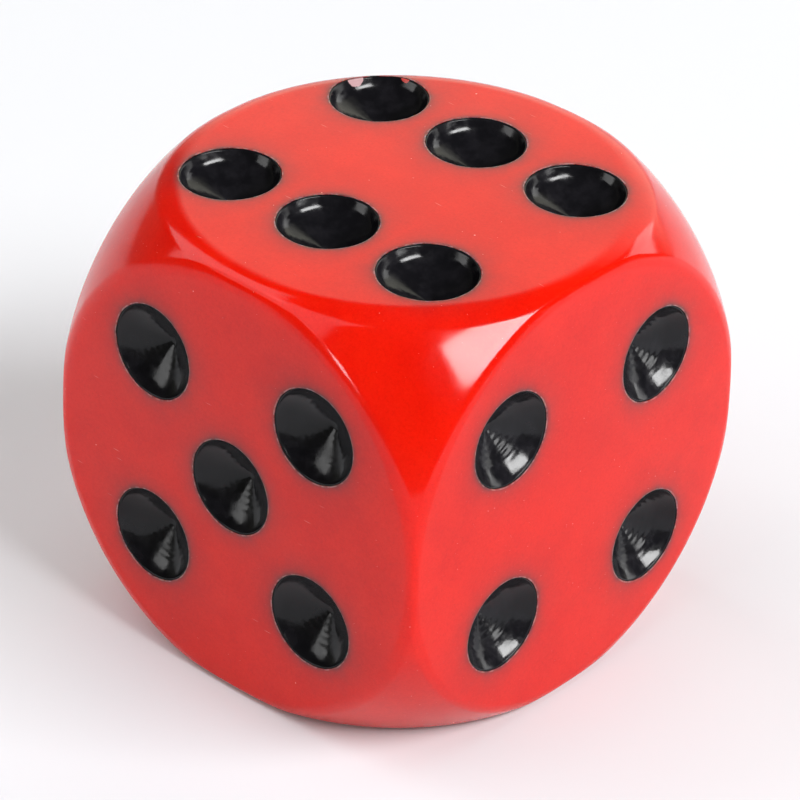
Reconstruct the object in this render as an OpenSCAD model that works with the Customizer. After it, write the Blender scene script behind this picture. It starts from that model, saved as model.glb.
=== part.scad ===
// Round-cornered spotted die: one moulded and tumbled body of red plastic with
// twenty-one drilled spots, each lined with its own coat of black enamel.
//
// Frame: millimetres, +Z up through the six, -Y out of the five and +X out of
// the four. Opposite faces add up to seven. The origin is the middle of the
// underside, on the face with one spot.

/* [Body] */
// Distance between opposite faces
die_size = 16; // [15.8:0.1:16.4]
// Diameter of the ball that rounds off the corners and edges
ball_d = 22.2; // [22:0.05:22.3]
// Radius between each flat face and the ball
rim_r = 0.5; // [0.3:0.05:0.5]

/* [Spots] */
// Diameter of the drill that cuts every spot
drill_d = 3.28; // [3:0.02:3.3]
// Point angle of the drill, in degrees
drill_point = 120; // [110:1:130]
// Depth of the straight wall above the drill's cone
wall_depth = 0.3; // [0.25:0.05:0.5]
// Width and depth of the broken edge around each spot's mouth
edge_break = 0.06; // [0.02:0.01:0.06]

/* [Spot layout] */
// Distance from a face's middle to its corner spots, along each edge
corner_pitch = 3.54; // [3.4:0.02:3.56]
// Distance between neighbouring spots in the six's two rows of three
row_pitch = 4.3; // [4:0.05:4.3]

/* [Enamel] */
// Thickness of the enamel on the walls and the cone of a spot
enamel_t = 0.1; // [0.08:0.01:0.12]
// Depth of the enamel's upper rim below the broken edge
enamel_drop = 0.02; // [0:0.01:0.05]

/* [Hidden] */
$fn = 96;
overcut = 1;                     // how far cutting tools stand clear of a face
half_size = die_size / 2;
ball_r = ball_d / 2;
drill_r = drill_d / 2;

// The rim is a quarter-round that meets the ball on the line from the ball's
// centre through the rim's own. It stands a hair proud of the ball there, so
// that the two surfaces cross along a clean edge.
rim_proud = 0.002;
rim_level = half_size - rim_r;
rim_reach = ball_r - rim_r + rim_proud;
flat_r = sqrt(rim_reach ^ 2 - rim_level ^ 2);
meet_level = rim_level * (rim_reach + rim_r) / rim_reach;

// Depth of a cone of the drill's point angle, for a mouth of radius r
function cone_depth(r) = r / tan(drill_point / 2);
spot_depth = wall_depth + cone_depth(drill_r);

// The enamel is a cone within the drilled one, its thickness measured square
// to the surface.
enamel_r = drill_r - enamel_t;
enamel_top = edge_break + enamel_drop;
enamel_floor = spot_depth - enamel_t / sin(drill_point / 2);
enamel_wall = enamel_floor - cone_depth(enamel_r);

// One entry per face: its name, the turn that takes +Z to it, and its spots.
corner = corner_pitch;
pair = [[-corner, -corner], [corner, corner]];
square_of_four = [for (x = [-corner, corner], y = [-corner, corner]) [x, y]];
rows_of_three = [for (y = [-corner, corner], x = [-1:1]) [x * row_pitch, y]];
middle = [[0, 0]];
FACES = [
    ["one", [180, 0, 0], middle],
    ["two", [-90, 0, 0], pair],
    ["three", [0, -90, 0], concat(middle, pair)],
    ["four", [0, 90, 0], square_of_four],
    ["five", [90, 0, 0], concat(middle, square_of_four)],
    ["six", [0, 0, 0], rows_of_three],
];

function pip_name(face, i) = str(face[0], "_pip_", i + 1);

// Places children, drawn mouth upward at the origin, at one spot of a face.
module at_spot(face, i) {
    translate([0, 0, half_size])
        rotate(face[1])
            translate([face[2][i].x, face[2][i].y, half_size])
                children();
}

// Two opposite flats with rounded rims, on Z, and all the room between them.
module flats_and_rims() {
    rotate_extrude() {
        translate([0, -half_size])
            square([flat_r, die_size]);
        for (side = [-1, 1])
            translate([flat_r, side * rim_level])
                circle(rim_r);
        translate([0, -meet_level])
            square([die_size, 2 * meet_level]);
    }
}

// What the drill and the edge-breaking leave open in the body.
module spot_cutter() {
    rotate_extrude()
        polygon([
            [0, overcut],
            [drill_r + edge_break, overcut],
            [drill_r + edge_break, 0],
            [drill_r, -edge_break],
            [drill_r, -wall_depth],
            [0, -spot_depth],
        ]);
}

module die_body() {
    color([0.85, 0.07, 0.04])
        difference() {
            translate([0, 0, half_size])
                intersection() {
                    sphere(ball_r);
                    flats_and_rims();
                    rotate([90, 0, 0])
                        flats_and_rims();
                    rotate([0, 90, 0])
                        flats_and_rims();
                }
            for (face = FACES, i = [0:len(face[2]) - 1])
                at_spot(face, i)
                    spot_cutter();
        }
}

// The black coat in one spot: it lies on the drilled wall and cone.
module enamel_lining() {
    color([0.06, 0.06, 0.07])
        rotate_extrude()
            polygon([
                [drill_r, -enamel_top],
                [drill_r, -wall_depth],
                [0, -spot_depth],
                [0, -enamel_floor],
                [enamel_r, -enamel_wall],
                [enamel_r, -enamel_top],
            ]);
}

die_body();
for (face = FACES, i = [0:len(face[2]) - 1])
    at_spot(face, i)
            enamel_lining();
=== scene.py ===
import math

import bmesh
import bpy
import numpy as np
from mathutils import Euler, Matrix, Vector, geometry, noise


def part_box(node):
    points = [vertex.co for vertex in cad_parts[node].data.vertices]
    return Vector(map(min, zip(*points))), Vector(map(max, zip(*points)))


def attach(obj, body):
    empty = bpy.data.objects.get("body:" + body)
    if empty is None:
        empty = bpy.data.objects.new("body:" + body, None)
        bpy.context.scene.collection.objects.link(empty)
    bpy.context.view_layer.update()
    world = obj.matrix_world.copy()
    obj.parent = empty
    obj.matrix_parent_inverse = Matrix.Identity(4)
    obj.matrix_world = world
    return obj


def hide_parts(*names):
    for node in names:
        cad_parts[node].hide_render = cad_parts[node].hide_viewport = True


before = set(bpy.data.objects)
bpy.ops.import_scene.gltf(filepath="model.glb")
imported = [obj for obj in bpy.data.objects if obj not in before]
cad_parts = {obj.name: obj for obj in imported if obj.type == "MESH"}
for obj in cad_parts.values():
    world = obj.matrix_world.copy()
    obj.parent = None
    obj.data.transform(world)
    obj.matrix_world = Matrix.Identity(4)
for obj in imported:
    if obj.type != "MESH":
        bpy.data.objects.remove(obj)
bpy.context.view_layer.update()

MM = 0.001

# ------------------------------------------------------------------ sizes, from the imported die
body_low, body_high = (np.array(corner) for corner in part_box("die_body"))
CENTRE = (body_low + body_high) / 2
HALF = float((body_high - body_low).max()) / 2
BREAK = 0.06 * MM               # rounded edge of each spot's mouth
WALL_DEPTH = 0.3 * MM           # depth where the drill's wall turns into its cone
POINT_ANGLE = math.radians(120)

# Tumbling rounds a die's corners and edges to a ball, but never quite evenly. These are the
# ball's radii at the eight corners, in the order -X-Y-Z, -X-Y+Z, -X+Y-Z, ... +X+Y+Z.
CORNER_RADII = np.array([11.30, 10.98, 11.14, 10.88, 11.22, 11.14, 11.18, 11.12]) * MM
CORNER_SPREAD = 1.5             # how far towards a corner its own radius takes over
EDGE_WEAR = 0.055 * MM          # how much smaller the ball is along the edges
DOME = 300 * MM                 # radius of the faces, which tumbling leaves very slightly domed
FACE_POWER = 16                 # how sharply one face's softness gives way to the next one's

# How the mouth of each spot wanders: by how much in mm, in how many waves, and the noise's seed.
MOUTH_WANDER = ((0.010, 1.5, 0), (0.006, 6, 3))
SEED_STEP = 7.3                 # keeps the noise of one spot apart from the next one's
WANDER_GAIN = 1.6               # brings the noise to about -1 to 1

# Mesh resolution
RIM_COLUMNS = 240               # round each face; a multiple of 8, so that faces share their borders
RIM_ROWS = 24                   # from the flat's mesh to the neighbouring face
RIM_CROWDING = 1.5              # above 1, the rows lie closer together near the flat
FLAT_MESH_R = 7.5 / 8 * HALF    # the flat's mesh runs a little past the flat, onto its rim
FLAT_GRID = 0.55 * MM
GUARD_ROWS = 6                  # rings of points just inside the flat's edge
GUARD_STEP = 0.13 * MM
MOUTH_GAP = 0.14 * MM           # kept free of grid points round each mouth
MOUTH_COLUMNS = 96              # round each spot
EDGE_ROWS = 5                   # down the broken edge

# Each face's outward axis, its own X, how gently it runs into the ball, in mm, and how far off
# centre its spots were drilled, in mm along its X and Y.
FACE_TABLE = {
    "one": ((0, 0, -1), (1, 0, 0), 0.15, (0, 0)),
    "two": ((0, 1, 0), (1, 0, 0), 0.25, (0, 0)),
    "three": ((-1, 0, 0), (0, 1, 0), 0.20, (0, 0)),
    "four": ((1, 0, 0), (0, 1, 0), 0.16, (0, -0.10)),
    "five": ((0, -1, 0), (1, 0, 0), 0.22, (0.05, 0.06)),
    "six": ((0, 0, 1), (1, 0, 0), 0.36, (-0.13, 0.11)),
}


def turns(count):
    """count equal angles round a circle."""
    return np.arange(count) * 2 * math.pi / count


class Face:
    """One face of the die: its directions, its softness at the rim, and its spots."""

    def __init__(self, axis, across, softness_mm, drilled_off_mm):
        self.axis = np.array(axis, dtype=float)
        self.u = np.array(across, dtype=float)
        self.v = np.cross(self.axis, self.u)
        self.softness = softness_mm * MM
        self.drilled_off = np.array(drilled_off_mm) * MM
        self.spots = []

    def local(self, point):
        """A point's (x, y) in the face's own directions, from the face's middle."""
        offset = np.asarray(point) - CENTRE
        return float(offset @ self.u), float(offset @ self.v)

    def place(self, x, y, depth):
        """Points at x, y and a depth under the face, in the row frame."""
        x, y, depth = np.broadcast_arrays(x, y, depth)
        sideways = x[..., None] * self.u + y[..., None] * self.v
        return CENTRE + sideways + (HALF - depth)[..., None] * self.axis

    def direction(self, lean, turn):
        """Unit directions leaning from the axis, turned from the face's X."""
        sideways = np.cos(turn)[..., None] * self.u + np.sin(turn)[..., None] * self.v
        lean = np.broadcast_to(lean, turn.shape)[..., None]
        return np.sin(lean) * sideways + np.cos(lean) * self.axis

    def height(self, offset):
        """How far points, given from the die's centre, stand above the domed face."""
        rise = offset @ self.axis
        sideways = (offset**2).sum(-1) - rise**2
        return rise + sideways / (2 * DOME) - HALF

    def skin_depth(self, x, y):
        """Depth of the skin under the face's plane at x, y."""
        deepest = 1.5 * MM
        return halve(lambda depth: skin_field(self.place(x, y, depth)) > 0, 0 * x, 0 * x + deepest)


FACES = {name: Face(*values) for name, values in FACE_TABLE.items()}


def ball_radius(directions):
    """Radius of the ball along unit directions: each corner's own, smoothly joined."""
    share = np.clip(directions * CORNER_SPREAD, -1, 1)
    share = (share * (3 - share**2) / 2 + 1) / 2
    radius = 0
    for number, corner_radius in enumerate(CORNER_RADII):
        weight = 1
        for axis in range(3):
            high = number >> (2 - axis) & 1
            weight = weight * (share[..., axis] if high else 1 - share[..., axis])
        radius = radius + weight * corner_radius
    cornerness = np.abs(directions).min(-1) * math.sqrt(3)
    return radius - EDGE_WEAR * (1 - cornerness) ** 2


def skin_field(points):
    """Below zero inside the die, zero on its skin: six faces and a ball, rounded where they meet."""
    offset = points - CENTRE
    length = np.linalg.norm(offset, axis=-1)
    directions = offset / length[..., None]
    weights, softness, total = 0, 0, 0
    for face in FACES.values():
        weight = np.maximum(directions @ face.axis, 0) ** FACE_POWER
        weights = weights + weight
        softness = softness + weight * face.softness
        total = total + np.maximum(0, face.height(offset) / face.softness + 1) ** 2
    softness = softness / weights
    total = total + np.maximum(0, (length - ball_radius(directions)) / softness + 1) ** 2
    return np.sqrt(total) - 1


def halve(outside, low, high, steps=36):
    """Closes in on where outside(value) changes, between low and high."""
    for _ in range(steps):
        middle = (low + high) / 2
        out = outside(middle)
        low, high = np.where(out, middle, low), np.where(out, high, middle)
    return (low + high) / 2


def skin_points(directions):
    """Points of the skin along unit directions from the die's centre."""
    shape = directions.shape[:-1]

    def inside(radius):
        return skin_field(CENTRE + directions * radius[..., None]) < 0

    nearest, farthest = 0.9 * HALF, 1.5 * HALF
    radius = halve(inside, np.full(shape, nearest), np.full(shape, farthest))
    return CENTRE + directions * radius[..., None]


def skin_normals(points):
    """Outward normals of the skin, from the slope of its field."""
    step = 0.001 * MM
    slopes = [skin_field(points + step * axis) - skin_field(points - step * axis) for axis in np.eye(3)]
    normals = np.stack(slopes, axis=-1)
    return normals / np.linalg.norm(normals, axis=-1, keepdims=True)


class Spot:
    """One drilled spot: its place on a face, and how its mouth wanders."""

    def __init__(self, name, face, number):
        low, high = (np.array(corner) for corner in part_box(name))
        self.name = name
        self.face = face
        self.number = number
        self.x, self.y = np.array(face.local((low + high) / 2)) + face.drilled_off
        self.drill_r = float((high - low).max()) / 2
        self.sink = float(face.skin_depth(np.array(self.x), np.array(self.y)))

    def sag(self, radius, turn):
        """How deep the skin lies over the recess: its depth round the mouth, eased in to the middle."""
        x = self.x + self.drill_r * np.cos(turn)
        y = self.y + self.drill_r * np.sin(turn)
        return self.sink + (self.face.skin_depth(x, y) - self.sink) * (radius / self.drill_r) ** 2

    def wander(self, turn, waves, seed):
        """Smooth random variation round the spot, about -1 to 1."""
        height = SEED_STEP * self.number + seed
        values = []
        for angle in np.atleast_1d(turn):
            at = Vector((math.cos(angle) * waves, math.sin(angle) * waves, height))
            values.append(noise.noise(at))
        return np.array(values) * WANDER_GAIN

    def mouth_r(self, turn):
        """Radius of the mouth at the face, broken edge included."""
        uneven = sum(reach * self.wander(turn, waves, seed) for reach, waves, seed in MOUTH_WANDER)
        return self.drill_r + BREAK + uneven * MM


SPOTS = []
for node in sorted(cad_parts):
    if "_pip_" in node:
        SPOTS.append(Spot(node, FACES[node.split("_")[0]], len(SPOTS)))
for spot in SPOTS:
    spot.face.spots.append(spot)


# ------------------------------------------------------------------ mesh work
class MeshWork:
    """Collects points and polygons, then joins what meets and makes an object."""

    def __init__(self):
        self.points = []
        self.polygons = []

    def add(self, points):
        """Adds points and gives their numbers."""
        first = len(self.points)
        self.points.extend(np.asarray(points).reshape(-1, 3).tolist())
        return list(range(first, len(self.points)))

    def strip(self, ring, next_ring):
        """Quads between two closed rings of points."""
        for i in range(len(ring)):
            j = (i + 1) % len(ring)
            self.polygons.append((ring[i], next_ring[i], next_ring[j], ring[j]))

    def fan(self, ring, tip):
        """Triangles from a closed ring to a point."""
        for i in range(len(ring)):
            self.polygons.append((ring[i], tip, ring[(i + 1) % len(ring)]))

    def make(self, name, join=0.5e-6):
        """Makes the object, after joining points nearer than join, in metres."""
        mesh = bpy.data.meshes.new(name)
        mesh.from_pydata(self.points, [], self.polygons)
        work = bmesh.new()
        work.from_mesh(mesh)
        bmesh.ops.remove_doubles(work, verts=work.verts, dist=join)
        bmesh.ops.dissolve_degenerate(work, edges=work.edges, dist=join / 5)
        bmesh.ops.recalc_face_normals(work, faces=work.faces)
        work.to_mesh(mesh)
        work.free()
        mesh.shade_smooth()
        piece = bpy.data.objects.new(name, mesh)
        bpy.context.scene.collection.objects.link(piece)
        return piece


def vertex_points(mesh):
    points = np.empty(len(mesh.vertices) * 3)
    mesh.vertices.foreach_get("co", points)
    return points.reshape(-1, 3)


# ------------------------------------------------------------------ the red body
def add_flat(work, face):
    """The flat out to its rim, with a hole for each spot's mouth."""
    rim = turns(RIM_COLUMNS)
    mouth = turns(MOUTH_COLUMNS)
    loops = [FLAT_MESH_R * np.stack([np.cos(rim), np.sin(rim)], 1)]
    for spot in face.spots:
        circle = np.stack([np.cos(mouth), np.sin(mouth)], 1) * spot.mouth_r(mouth)[:, None]
        loops.append(circle + (spot.x, spot.y))
    points, edges = [], []
    for loop in loops:
        first = len(points)
        points += loop.tolist()
        edges += [(first + i, first + (i + 1) % len(loop)) for i in range(len(loop))]
    points += inner_grid(face)
    scaled = [Vector((x / MM, y / MM)) for x, y in points]
    flat, _, triangles, *_ = geometry.delaunay_2d_cdt(scaled, edges, [], 0, 1e-6)
    flat = np.array([tuple(point) for point in flat]) * MM
    depth = face.skin_depth(flat[:, 0], flat[:, 1])
    numbers = work.add(face.place(flat[:, 0], flat[:, 1], depth))
    for triangle in triangles:
        if not in_a_mouth(face, flat[list(triangle)].mean(0)):
            work.polygons.append(tuple(numbers[i] for i in triangle))


def inner_grid(face):
    """Loose points between the spots, which keep the flat's triangles from being long and thin."""
    count = int(FLAT_MESH_R / FLAT_GRID)
    steps = np.arange(-count, count + 1) * FLAT_GRID
    grid_r = FLAT_MESH_R - 1.5 * FLAT_GRID
    points = [(x, y) for x in steps for y in steps if math.hypot(x, y) < grid_r]
    for row in range(1, GUARD_ROWS + 1):
        reach = FLAT_MESH_R - row * GUARD_STEP
        points += [(reach * math.cos(turn), reach * math.sin(turn)) for turn in turns(RIM_COLUMNS // 2)]

    def is_clear(x, y):
        return all(
            math.hypot(x - spot.x, y - spot.y) > spot.drill_r + BREAK + MOUTH_GAP
            for spot in face.spots
        )

    return [(x, y) for x, y in points if is_clear(x, y)]


def in_a_mouth(face, point):
    """Whether a point of the flat lies in the mouth of a spot."""
    near_mouth = 0.6 * MM
    short_of_mouth = 0.9995
    for spot in face.spots:
        x, y = point[0] - spot.x, point[1] - spot.y
        reach = math.hypot(x, y)
        if reach < spot.drill_r:
            return True
        if reach < spot.drill_r + near_mouth:
            if reach < spot.mouth_r(math.atan2(y, x))[0] * short_of_mouth:
                return True
    return False


def add_rim(work, face):
    """The skin from the flat's mesh to the planes that part the face from its four neighbours."""
    turn = turns(RIM_COLUMNS)
    border = np.arctan2(1, np.maximum(np.abs(np.cos(turn)), np.abs(np.sin(turn))))
    x, y = FLAT_MESH_R * np.cos(turn), FLAT_MESH_R * np.sin(turn)
    depth = face.skin_depth(x, y)
    start = np.arctan2(FLAT_MESH_R, HALF - depth)
    rings = [work.add(face.place(x, y, depth))]
    for row in range(1, RIM_ROWS + 1):
        share = (row / RIM_ROWS) ** RIM_CROWDING
        rings.append(work.add(skin_points(face.direction(start + (border - start) * share, turn))))
    for ring, next_ring in zip(rings, rings[1:]):
        work.strip(ring, next_ring)


def add_recess(work, spot):
    """The drilled recess: broken edge, wall, and the drill's cone."""
    face = spot.face
    turn = turns(MOUTH_COLUMNS)
    mouth = spot.mouth_r(turn)
    edge = mouth - spot.drill_r
    rows = []
    for step in range(EDGE_ROWS):
        bend = math.radians(90) * step / (EDGE_ROWS - 1)
        rows.append((mouth - edge * math.sin(bend), edge * (1 - math.cos(bend))))
    cone_depth = spot.drill_r / math.tan(POINT_ANGLE / 2)
    for share in (0, 0.5):
        rows.append((spot.drill_r * (1 - share), WALL_DEPTH + cone_depth * share))
    rings = []
    for radius, depth in rows:
        x = spot.x + radius * np.cos(turn)
        y = spot.y + radius * np.sin(turn)
        on_edge = np.all(radius > 0.999 * spot.drill_r)
        skin = face.skin_depth(x, y) if on_edge else spot.sag(radius, turn)
        rings.append(work.add(face.place(x, y, depth + skin)))
    for ring, next_ring in zip(rings, rings[1:]):
        work.strip(ring, next_ring)
    tip = work.add(face.place(spot.x, spot.y, WALL_DEPTH + cone_depth + spot.sink))[0]
    work.fan(rings[-1], tip)


def shade_by_skin(mesh):
    """True normals wherever the mesh lies on the skin, so that flats, rims and ball meet cleanly."""
    points = vertex_points(mesh)
    touching = 0.002
    on_skin = np.abs(skin_field(points)) < touching
    normals = np.empty(len(points) * 3)
    mesh.vertex_normals.foreach_get("vector", normals)
    normals = np.where(on_skin[:, None], skin_normals(points), normals.reshape(-1, 3))
    mesh.normals_split_custom_set_from_vertices(normals.tolist())


def make_body():
    work = MeshWork()
    for face in FACES.values():
        add_flat(work, face)
        add_rim(work, face)
    for spot in SPOTS:
        add_recess(work, spot)
    body = work.make("red_body")
    shade_by_skin(body.data)
    return body


# ------------------------------------------------------------------ the black linings
RIDGE_PITCH = 0.23 * MM         # feed marks that the drill left in the cone
RIDGE_HEIGHT = 0.0030 * MM
LIP_DEPTH = 0.022 * MM          # depth of the enamel's rim under the face
LIP_WANDER = 0.006 * MM
FLOW_WANDER = 0.003 * MM        # how much the coat's surface wanders
TIP_R = 0.10                    # share of the enamel's radius over which its tip is rounded
CLEARANCE = 0.004 * MM          # between the enamel and the recess
THINNEST = 0.015 * MM

# Mesh resolution
STEEP_SHARE = 0.72              # share of the enamel's radius outside which it gets finer rows
STEEP_ROWS = 20
CONE_ROWS = 46
LINING_COLUMNS = 80

# How steeply the enamel leans from the face, in degrees, at shares of its radius from the lip to
# the tip. It lies thick in the corner between the drill's wall and cone, more so on some faces.
# The six's values also serve the faces that the photo doesn't show.
LEANS = {
    "four": ((1.0, 62), (0.95, 50), (0.76, 43), (0.64, 30), (0.5, 28), (0, 24)),
    "five": ((1.0, 66), (0.95, 48), (0.84, 37), (0.70, 30), (0.5, 29), (0, 26)),
    "six": (
        (1.0, 62), (0.955, 64), (0.925, 60), (0.88, 48),
        (0.83, 36), (0.76, 28.5), (0.5, 27), (0, 24),
    ),
}
# The share of the radius where the drill's feed marks begin to show through, and how strongly.
RIDGES = {"four": (0.88, 1.1), "five": (0.80, 0.45), "six": (0.74, 0.4)}
RIDGE_FADE = 0.1                # share of the radius over which they fade in, and out at the tip


def lining_profile(drill_r, face_name):
    """Inner surface of the enamel from lip to tip, as (radius, depth, share of ridges)."""
    steep = np.linspace(1, STEEP_SHARE, STEEP_ROWS)[:-1]
    shares = np.concatenate([steep, np.linspace(STEEP_SHARE, 0, CONE_ROWS)])
    radii = shares * (drill_r - CLEARANCE)
    known, degrees = zip(*reversed(LEANS.get(face_name, LEANS["six"])))
    lean = np.radians(np.interp(shares, known, degrees)) * np.minimum(1, shares / TIP_R)
    falls = np.tan((lean[1:] + lean[:-1]) / 2) * (radii[:-1] - radii[1:])
    depths = LIP_DEPTH + np.concatenate([[0], np.cumsum(falls)])
    drilled = WALL_DEPTH + (drill_r - radii) / math.tan(POINT_ANGLE / 2)
    depths = np.minimum(depths, drilled - THINNEST)
    first, strength = RIDGES.get(face_name, RIDGES["six"])
    fading_in = np.clip((first - shares) / RIDGE_FADE, 0, 1)
    ridged = strength * fading_in * np.clip(shares / RIDGE_FADE, 0, 1)
    return list(zip(radii, depths, ridged))


def ridges(spot, turn, radius, share):
    """Height of the feed marks round the spot at a radius, patchy where the enamel filled them."""
    along = radius / math.sin(POINT_ANGLE / 2)
    phase = 2 * math.pi * along / RIDGE_PITCH + 1.5 * spot.wander(turn, 1, 31)
    patchy = 0.7 + 0.6 * spot.wander(turn, 3, 40 + 2 * radius / MM)
    return RIDGE_HEIGHT * np.sin(phase) * share * patchy


def make_lining(spot):
    """The coat of enamel in one spot: a closed shell that lies on the wall and the cone."""
    work = MeshWork()
    face = spot.face
    turn = turns(LINING_COLUMNS)
    slope = math.pi / 2 - POINT_ANGLE / 2
    outer_r = spot.drill_r - CLEARANCE
    tip_depth = WALL_DEPTH + spot.drill_r * math.tan(slope) - CLEARANCE / math.cos(slope)
    rim_sag = spot.sag(spot.drill_r, turn) - spot.sink
    rings = []

    def ring(radius, depth):
        x = spot.x + radius * np.cos(turn)
        y = spot.y + radius * np.sin(turn)
        sag = spot.sink + rim_sag * (radius / spot.drill_r) ** 2
        rings.append(work.add(face.place(x, y, depth + sag)))

    outer_tip = work.add(face.place(spot.x, spot.y, tip_depth + spot.sink))[0]
    ring(outer_r * 0.5, tip_depth - outer_r * 0.5 * math.tan(slope))
    ring(outer_r, tip_depth - outer_r * math.tan(slope))
    ring(outer_r, LIP_DEPTH + LIP_WANDER * spot.wander(turn, 2.5, 11))
    profile = lining_profile(spot.drill_r, spot.name.split("_")[0])
    for radius, depth, share in profile[1:-1]:
        waves = 2 + 3 * radius / spot.drill_r
        flow = FLOW_WANDER * spot.wander(turn, waves, 20 + depth / MM)
        ring(radius, depth - (flow + ridges(spot, turn, radius, share)))
    tip = work.add(face.place(spot.x, spot.y, profile[-1][1] + spot.sink))[0]
    for first, second in zip(rings, rings[1:]):
        work.strip(first, second)
    work.fan(rings[0], outer_tip)
    work.fan(rings[-1], tip)
    return work.make("enamel_" + spot.name, join=0.02e-6)


# ------------------------------------------------------------------ materials
# In the materials, lengths are in millimetres and colours are linear.
class Shader:
    """Builds one node material around its Principled shader."""

    def __init__(self, name):
        self.material = bpy.data.materials.new(name)
        self.material.use_nodes = True
        self.tree = self.material.node_tree
        self.tree.nodes.clear()
        output = self.tree.nodes.new("ShaderNodeOutputMaterial")
        self.shader = self.tree.nodes.new("ShaderNodeBsdfPrincipled")
        self.tree.links.new(self.shader.outputs[0], output.inputs[0])
        place = self.add("ShaderNodeTexCoord")
        scaled = self.add("ShaderNodeVectorMath", {0: place.outputs["Object"]}, operation="SCALE")
        scaled.inputs["Scale"].default_value = 1 / MM
        self.place = scaled.outputs[0]      # the point on the piece, in millimetres

    def set(self, **values):
        """Sets the shader's own inputs."""
        for name, value in values.items():
            self.shader.inputs[name.replace("_", " ")].default_value = value

    def drive(self, name, socket):
        """Links a socket to one of the shader's inputs."""
        self.tree.links.new(socket, self.shader.inputs[name])

    def add(self, kind, inputs=None, **settings):
        """A new node, with values or sockets on its inputs."""
        node = self.tree.nodes.new(kind)
        for name, value in settings.items():
            setattr(node, name, value)
        for name, value in (inputs or {}).items():
            if isinstance(value, bpy.types.NodeSocket):
                self.tree.links.new(value, node.inputs[name])
            else:
                node.inputs[name].default_value = value
        return node

    def math(self, operation, a, b=0.0, c=0.0):
        return self.add("ShaderNodeMath", {0: a, 1: b, 2: c}, operation=operation).outputs[0]

    def times(self, a, b):
        return self.math("MULTIPLY", a, b)

    def most(self, a, b):
        return self.math("MAXIMUM", a, b)

    def distance(self, at):
        """Distance to a point."""
        measure = self.add("ShaderNodeVectorMath", {0: self.place, 1: at}, operation="DISTANCE")
        return measure.outputs["Value"]

    def span(self, value, low, high, to_low=0.0, to_high=1.0):
        """value from low..high eased over to to_low..to_high, and held at the ends."""
        inputs = {0: value, 1: low, 2: high, 3: to_low, 4: to_high}
        return self.add("ShaderNodeMapRange", inputs, interpolation_type="SMOOTHSTEP").outputs[0]

    def noise(self, per_mm, detail, rough):
        inputs = {"Vector": self.place, "Scale": per_mm, "Detail": detail, "Roughness": rough}
        return self.add("ShaderNodeTexNoise", inputs).outputs[0]

    def mix(self, share, a, b):
        """Colour a, with a share of colour b."""
        node = self.add("ShaderNodeMix", data_type="RGBA")
        for socket, value in ((node.inputs[0], share), (node.inputs[6], a), (node.inputs[7], b)):
            if isinstance(value, bpy.types.NodeSocket):
                self.tree.links.new(value, socket)
            elif isinstance(value, tuple):
                socket.default_value = (*value, 1)
            else:
                socket.default_value = value
        return node.outputs[2]

    def specks(self, per_mm, size, kept, seed):
        """Scattered dots: 1 inside a dot. size is the largest radius, kept the share of cells."""
        shift = (seed, seed * 1.7, -seed)
        moved = self.add("ShaderNodeVectorMath", {0: self.place, 1: shift}, operation="ADD")
        cells = self.add("ShaderNodeTexVoronoi", {"Vector": moved.outputs[0], "Scale": per_mm})
        pick = self.add("ShaderNodeSeparateColor", {0: cells.outputs["Color"]})
        chosen = self.math("LESS_THAN", pick.outputs[0], kept)
        radius = self.math("MULTIPLY", pick.outputs[1], size * per_mm)
        inside = self.math("LESS_THAN", cells.outputs["Distance"], radius)
        return self.math("MULTIPLY", chosen, inside)

    def patch(self, centre, reach, ragged):
        """A ragged round patch: 1 inside."""
        far = self.math("MULTIPLY_ADD", self.noise(6.0, 2.0, 0.6), ragged, self.distance(centre))
        return self.math("LESS_THAN", far, reach + ragged / 2)

    def scratches(self, rotation, length, width, kept):
        """Short fine lines along one direction: 1 on a line."""
        core, edge = 0.05, 0.16         # of a line, in cells
        turned = self.add("ShaderNodeMapping", {"Vector": self.place, "Rotation": rotation})
        turned.inputs["Scale"].default_value = (1 / length, edge / width, edge / width)
        cells = self.add("ShaderNodeTexVoronoi", {"Vector": turned.outputs[0], "Scale": 1.0})
        pick = self.add("ShaderNodeSeparateColor", {0: cells.outputs["Color"]})
        chosen = self.math("LESS_THAN", pick.outputs[0], kept)
        inside = self.span(cells.outputs["Distance"], core, edge, 1.0, 0.0)
        return self.math("MULTIPLY", chosen, inside)

    def bump(self, height, distance, under=None):
        """A normal from a height, on top of another normal. distance is in metres."""
        inputs = {"Height": height, "Distance": distance, "Strength": 1.0}
        if under is not None:
            inputs["Normal"] = under
        return self.add("ShaderNodeBump", inputs).outputs[0]


MOUTH = (SPOTS[0].drill_r + BREAK) / MM
RED = ((0.62, 0.0055, 0.0006), (0.68, 0.0080, 0.0010))      # darker and lighter clouds
DARK_GRAIN = (0.30, 0.003, 0.002)
PALE_GRAIN = (0.80, 0.040, 0.020)
SPOT_SHADE_COLOUR = (0.09, 0.028, 0.032)   # painted shade on the plastic close to a spot, where the black spots take light from the translucent plastic
WIDE_SPOT_SHADE = (0.55, 0.38)        # how far the painted shade reaches from the mouth, and how strong it is
TIGHT_SPOT_SHADE = (0.09, 0.42)
CHALK = (0.90, 0.40, 0.36)      # dust, pits and scratches
PITS = ((1.3, 0.036, 0.30, 4.0), (3.6, 0.016, 0.45, 9.0))
SCRATCHES = (((0.3, 0.5, 0.4), 0.008), ((0.8, -0.3, 1.6), 0.012), ((-0.5, 0.9, 2.5), 0.016))
SCRATCH_LENGTH, SCRATCH_WIDTH = 1.3, 0.013
WORN = (0.50, 0.24, 0.24)       # the plastic on the broken edge of a spot
BODY_PAINT = (0.006, 0.006, 0.007)  # where the black runs onto the broken edge
RED_GLOSS, PAINT_GLOSS = 0.31, 0.08
BLACK = ((0.0040, 0.0038, 0.0050), (0.0080, 0.0075, 0.0095))
LINT = (0.20, 0.21, 0.20)
FLAKE = (0.38, 0.23, 0.24)
BARE_RED = (0.55, 0.06, 0.05)

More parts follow.
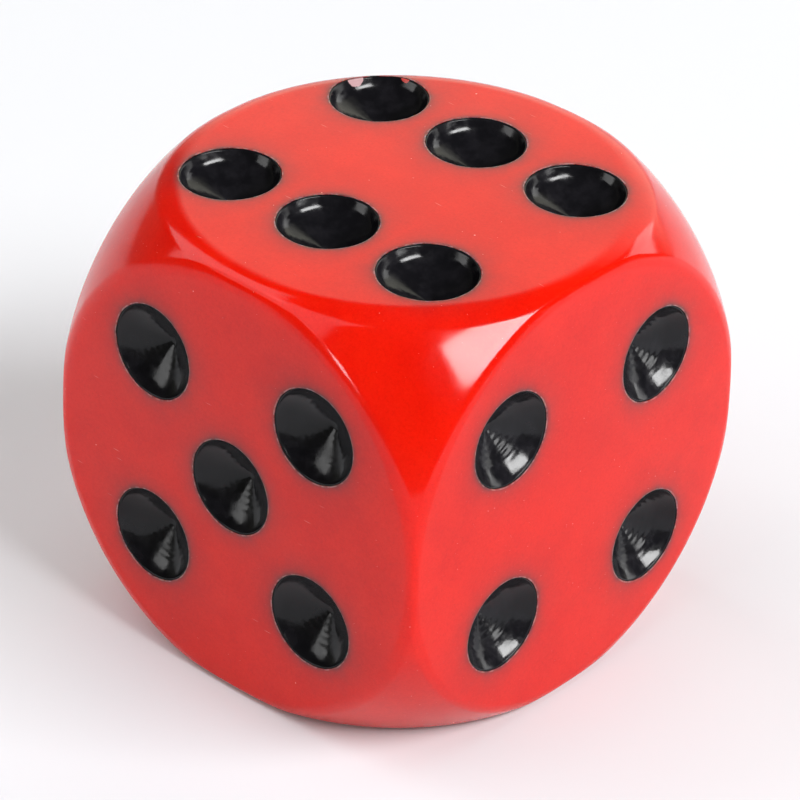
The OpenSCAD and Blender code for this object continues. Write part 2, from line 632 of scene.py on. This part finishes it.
# The spot on the six that is chipped on its far side: where paint flaked off its lip, where paint
# ran over the edge, and where the plastic shows, as (turn from the face's X in degrees, depth,
# reach, raggedness).
CHIPPED = "six"
FLAKED = (162, 0.10, 0.30, 0.12)
SPILLED = (138, 0.00, 0.22, 0.10)
BARE = (100, 0.02, 0.17, 0.10)


def chipped_spot():
    """The six's spot farthest from the camera."""
    away = bearing(CAMERA_AZIMUTH, 0).col[2]
    spots = FACES[CHIPPED].spots
    return min(spots, key=lambda spot: Vector(spot.face.place(spot.x, spot.y, 0)) @ away)


def chip(s, turn_degrees, depth, reach, ragged):
    """1 inside a ragged patch at the mouth of the chipped spot."""
    spot = chipped_spot()
    turn = math.radians(turn_degrees)
    x, y = spot.x + spot.drill_r * math.cos(turn), spot.y + spot.drill_r * math.sin(turn)
    centre = tuple(spot.face.place(x, y, spot.sink + depth * MM) / MM)
    return s.patch(centre, reach, ragged)


def nearest_spot(s):
    """Distance to the middle of the nearest spot's mouth."""
    near = None
    for spot in SPOTS:
        middle = spot.face.place(np.array(spot.x), np.array(spot.y), spot.sink)
        far = s.distance(tuple(middle / MM))
        near = far if near is None else s.math("MINIMUM", near, far)
    return near


def painted_spot_shade(s, near):
    """How strong the painted shade is round a spot: the darkening that light absorbed by the black spots
    leaves in the translucent plastic.
    """
    past_mouth = s.most(s.math("SUBTRACT", near, MOUTH), 0.0)
    wide = s.math("EXPONENT", s.times(past_mouth, -1 / WIDE_SPOT_SHADE[0]))
    tight = s.math("EXPONENT", s.times(past_mouth, -1 / TIGHT_SPOT_SHADE[0]))
    both = s.math("MULTIPLY_ADD", tight, TIGHT_SPOT_SHADE[1], s.times(wide, WIDE_SPOT_SHADE[1]))
    return s.times(both, s.span(s.noise(1.3, 3.0, 0.6), 0.3, 0.7, 0.75, 1.2))


def grained(s, colour):
    """The colour with a fine dark and pale grain over it."""
    coarse, fine = s.noise(9.0, 2.0, 0.6), s.noise(23.0, 2.0, 0.6)
    grain = s.math("ADD", s.times(coarse, 0.5), s.times(fine, 0.5))
    colour = s.mix(s.span(grain, 0.36, 0.50, 0.16, 0.0), colour, DARK_GRAIN)
    return s.mix(s.span(grain, 0.50, 0.64, 0.0, 0.12), colour, PALE_GRAIN)


def pale_flaws(s):
    """Dust, pits and scratches: how pale each leaves the plastic."""
    pits = s.most(s.specks(*PITS[0]), s.specks(*PITS[1]))
    lines = 0.0
    for rotation, kept in SCRATCHES:
        lines = s.most(lines, s.scratches(rotation, SCRATCH_LENGTH, SCRATCH_WIDTH, kept))
    return s.most(s.times(pits, 0.7), s.times(lines, 0.4))


def worn_edge(s, near):
    """How pale the broken edge round a spot has worn."""
    outside = s.span(near, MOUTH - 0.004, MOUTH + 0.016, 1.0, 0.0)
    edge = s.times(s.span(near, MOUTH - 0.045, MOUTH - 0.030), outside)
    return s.times(edge, s.span(s.noise(5.0, 2.0, 0.6), 0.38, 0.68, 0.05, 0.60))


def painted_edge(s, near):
    """1 where the black laps over the inner side of the broken edge."""
    lap = s.math("MULTIPLY_ADD", s.noise(4.0, 3.0, 0.6), 0.04, MOUTH - 0.056)
    return s.math("LESS_THAN", near, lap)


def red_plastic():
    """Translucent red plastic, tumbled smooth: clouded, grained, scratched, with painted shade near the
    spots.
    """
    s = Shader("red_plastic")
    s.set(IOR=1.5, Subsurface_Weight=0.7, Subsurface_Scale=0.5 * MM)
    s.set(Subsurface_Radius=(4.2, 0.25, 0.1))
    near = nearest_spot(s)
    pale = pale_flaws(s)
    painted = painted_edge(s, near)
    colour = s.mix(s.span(s.noise(0.45, 3.0, 0.6), 0.3, 0.7), *RED)
    # Painted shade round the spots: the plastic is mixed towards grey there, standing in for light that
    # the black spots absorb.
    colour = grained(s, s.mix(painted_spot_shade(s, near), colour, SPOT_SHADE_COLOUR))
    colour = s.mix(pale, colour, CHALK)
    colour = s.mix(worn_edge(s, near), colour, WORN)
    colour = s.mix(painted, colour, BODY_PAINT)
    s.drive("Base Color", s.mix(chip(s, *SPILLED), colour, BODY_PAINT))
    s.drive("Specular IOR Level", s.span(painted, 0.0, 1.0, RED_GLOSS, PAINT_GLOSS))
    rough = s.span(s.noise(1.1, 4.0, 0.65), 0.3, 0.75, 0.09, 0.16)
    s.drive("Roughness", s.math("ADD", rough, s.times(pale, 0.3)))
    waves = s.bump(s.noise(0.9, 3.0, 0.55), 0.004 * MM)
    fine = s.bump(s.noise(11.0, 2.0, 0.6), 0.0006 * MM, waves)
    s.drive("Normal", s.bump(pale, -0.002 * MM, fine))
    return s.material


def black_enamel():
    """Brushed-in black enamel: glossy, a little uneven, with lint in it."""
    s = Shader("black_enamel")
    s.set(IOR=1.5, Specular_IOR_Level=0.27)
    lint = s.times(s.specks(2.6, 0.018, 0.10, 2.0), 0.4)
    colour = s.mix(s.span(s.noise(1.6, 3.0, 0.6), 0.35, 0.7), *BLACK)
    colour = s.mix(lint, colour, LINT)
    colour = s.mix(chip(s, *FLAKED), colour, FLAKE)
    s.drive("Base Color", s.mix(chip(s, *BARE), colour, BARE_RED))
    rough = s.span(s.noise(3.2, 4.0, 0.65), 0.3, 0.75, 0.10, 0.26)
    s.drive("Roughness", s.math("ADD", rough, lint))
    flow = s.bump(s.noise(3.0, 3.0, 0.5), 0.004 * MM)
    s.drive("Normal", s.bump(s.noise(13.0, 3.0, 0.65), 0.0012 * MM, flow))
    return s.material


def floor_paper():
    """Matt pale paper with a faint glow, as the photo's floor is nearly white."""
    s = Shader("floor_paper")
    s.set(Specular_IOR_Level=0.1, Roughness=0.6)
    s.set(Emission_Color=(0.99, 0.985, 1.0, 1), Emission_Strength=0.07)
    s.drive("Base Color", s.mix(s.noise(0.02, 3.0, 0.5), (0.67, 0.68, 0.71), (0.69, 0.70, 0.73)))
    return s.material


# ------------------------------------------------------------------ floor, lights, camera
def bearing(azimuth, elevation):
    """Turn that points an object's -Z at the die from that side. Azimuth 0 looks along +Y."""
    return Euler((math.radians(90 - elevation), 0, math.radians(azimuth))).to_matrix()


def make_floor():
    reach = 3.0
    work = MeshWork()
    corners = [(-reach, -reach, 0), (reach, -reach, 0), (reach, reach, 0), (-reach, reach, 0)]
    work.polygons.append(tuple(work.add(corners)))
    floor = work.make("floor")
    floor.data.materials.append(floor_paper())
    return floor


# Azimuths and elevations that each light covers as seen from the die, in degrees, its radiance,
# and the groups of pieces that it lights. Keeping lights to groups gives each reflection the place
# and strength that it has in the photo.
LIGHTS = {
    "window_right": ((64, 118), (35, 51), 20.5, ("plastic",)),
    "window_right_in_spots": ((64, 118), (35, 51), 28.5, ("spots",)),
    "window_right_on_floor": ((72, 126), (35, 51), 18.9, ("floor",)),
    "ceiling_on_floor": ((-80, 100), (66, 94), 1.5, ("floor",)),
    "window_left": ((-100, -60), (26, 64), 2.1, ("plastic", "floor")),
    "window_front_left": ((-60, 3), (28, 70), 1.65, ("plastic", "floor")),
    "low_left": ((-76, -62), (16, 28), 1.6, ("plastic",)),
    "slit_front": ((-3, 5), (14, 26), 15.0, ("plastic",)),
    "window_behind": ((160, 182), (8, 30), 2.8, ("plastic", "spots", "floor")),
    "spot_glint_behind": ((140, 166), (-4, 14), 2.0, ("spots",)),
    "spot_glint_right": ((90, 112), (7, 17), 9.5, ("spots",)),
    "spot_glint_left": ((-52, -24), (8, 26), 3.8, ("spots",)),
}
LIGHT_DISTANCE = 0.6


def make_lights(groups):
    """One area light per entry, kept to its groups of pieces."""
    for name, (azimuths, elevations, radiance, targets) in LIGHTS.items():
        lamp = bpy.data.lights.new(name, "AREA")
        lamp.shape = "RECTANGLE"
        middle = math.radians(sum(elevations) / 2)
        half_turn = math.radians(azimuths[1] - azimuths[0]) / 2 * math.cos(middle)
        half_rise = math.radians(elevations[1] - elevations[0]) / 2
        lamp.size = 2 * LIGHT_DISTANCE * math.tan(half_turn)
        lamp.size_y = 2 * LIGHT_DISTANCE * math.tan(half_rise)
        lamp.energy = radiance * math.pi * lamp.size * lamp.size_y
        turn = bearing(sum(azimuths) / 2, sum(elevations) / 2)
        holder = bpy.data.objects.new(name, lamp)
        place = Vector(CENTRE) + turn.col[2] * LIGHT_DISTANCE
        holder.matrix_world = Matrix.Translation(place) @ turn.to_4x4()
        bpy.context.scene.collection.objects.link(holder)
        lit = bpy.data.collections.new("lit_by_" + name)
        for target in targets:
            for piece in groups[target]:
                lit.objects.link(piece)
        holder.light_linking.receiver_collection = lit


WALL_AZIMUTH = 207              # middle of the pale wall behind the die, in degrees
WALL_SIDES = (36, 18)           # from its middle, where the wall begins and where it is full
WALL_TOPS = (50, 32)            # elevations where it begins and where it is full
WALL_RADIANCE = 1.35
GLOW_RADIANCE = 0.18            # low down all round
GLOW_TOP = 0.35                 # sine of the elevation where the glow ends
ROOM_RADIANCE = 0.05
BACKGROUND_RADIANCE = 0.80      # what the camera sees where it looks past the floor
ROOM_COLOUR = (1.0, 0.99, 0.83, 1)


def make_world():
    """A dark room with one pale wall; the camera itself sees a plain pale background."""
    world = bpy.data.worlds.new("studio")
    world.use_nodes = True
    tree = world.node_tree
    link = tree.links.new

    def node(kind, inputs=None, **settings):
        made = tree.nodes.new(kind)
        for name, value in settings.items():
            setattr(made, name, value)
        for name, value in (inputs or {}).items():
            if isinstance(value, bpy.types.NodeSocket):
                link(value, made.inputs[name])
            else:
                made.inputs[name].default_value = value
        return made

    def span(value, low, high, to_low, to_high):
        inputs = {0: value, 1: low, 2: high, 3: to_low, 4: to_high}
        return node("ShaderNodeMapRange", inputs, interpolation_type="SMOOTHSTEP").outputs[0]

    direction = node("ShaderNodeTexCoord").outputs["Generated"]
    rise = node("ShaderNodeSeparateXYZ", {0: direction}).outputs[2]
    level = node("ShaderNodeVectorMath", {0: direction, 1: (1, 1, 0)}, operation="MULTIPLY").outputs[0]
    level = node("ShaderNodeVectorMath", {0: level}, operation="NORMALIZE").outputs[0]
    middle = math.radians(WALL_AZIMUTH)
    towards = (math.sin(middle), -math.cos(middle), 0)
    across = node("ShaderNodeVectorMath", {0: level, 1: towards}, operation="DOT_PRODUCT").outputs["Value"]
    begins, full = (math.cos(math.radians(side)) for side in WALL_SIDES)
    in_width = span(across, begins, full, 0.0, 1.0)
    begins, full = (math.sin(math.radians(top)) for top in WALL_TOPS)
    in_height = span(rise, full, begins, 1.0, 0.0)
    wall = node("ShaderNodeMath", {0: in_width, 1: in_height}, operation="MULTIPLY")
    glow = span(rise, 0.0, GLOW_TOP, GLOW_RADIANCE, ROOM_RADIANCE)
    lit = {0: wall.outputs[0], 2: glow, 3: WALL_RADIANCE}
    room = node("ShaderNodeMix", lit, data_type="FLOAT").outputs[0]
    seen = node("ShaderNodeLightPath").outputs["Is Camera Ray"]
    strength = node("ShaderNodeMix", {0: seen, 2: room, 3: BACKGROUND_RADIANCE}, data_type="FLOAT")
    background = tree.nodes["Background"]
    background.inputs[0].default_value = ROOM_COLOUR
    link(strength.outputs[0], background.inputs[1])
    bpy.context.scene.world = world


CAMERA_AZIMUTH = 41.52
CAMERA_ELEVATION = 32.92
CAMERA_ROLL = 1.70
CAMERA_DISTANCE = 161.1 * MM
CAMERA_OFFSET = (0.083 * MM, -0.260 * MM)   # sideways and up, in the camera's own directions
LENS = 219.5                    # in mm, on a sensor of full-frame width
SENSOR_WIDTH = 36


def make_camera():
    roll = Matrix.Rotation(math.radians(CAMERA_ROLL), 3, "Z")
    turn = bearing(CAMERA_AZIMUTH, CAMERA_ELEVATION) @ roll
    camera = bpy.data.cameras.new("camera")
    camera.lens = LENS
    camera.sensor_width = SENSOR_WIDTH
    camera.clip_start = 10 * MM
    holder = bpy.data.objects.new("camera", camera)
    place = Vector(CENTRE) + turn @ Vector((*CAMERA_OFFSET, CAMERA_DISTANCE))
    holder.matrix_world = Matrix.Translation(place) @ turn.to_4x4()
    bpy.context.scene.collection.objects.link(holder)
    bpy.context.scene.camera = holder


# ------------------------------------------------------------------ the scene
body = make_body()
body.data.materials.append(red_plastic())
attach(body, "root")
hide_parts("die_body")

groups = {"plastic": [body], "spots": []}
enamel = black_enamel()
for spot in SPOTS:
    lining = make_lining(spot)
    lining.data.materials.append(enamel)
    groups["spots"].append(lining)
    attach(lining, "root")
    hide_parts(spot.name)

groups["floor"] = [make_floor()]
make_lights(groups)
make_world()
make_camera()
bpy.context.scene.view_settings.view_transform = "Standard"
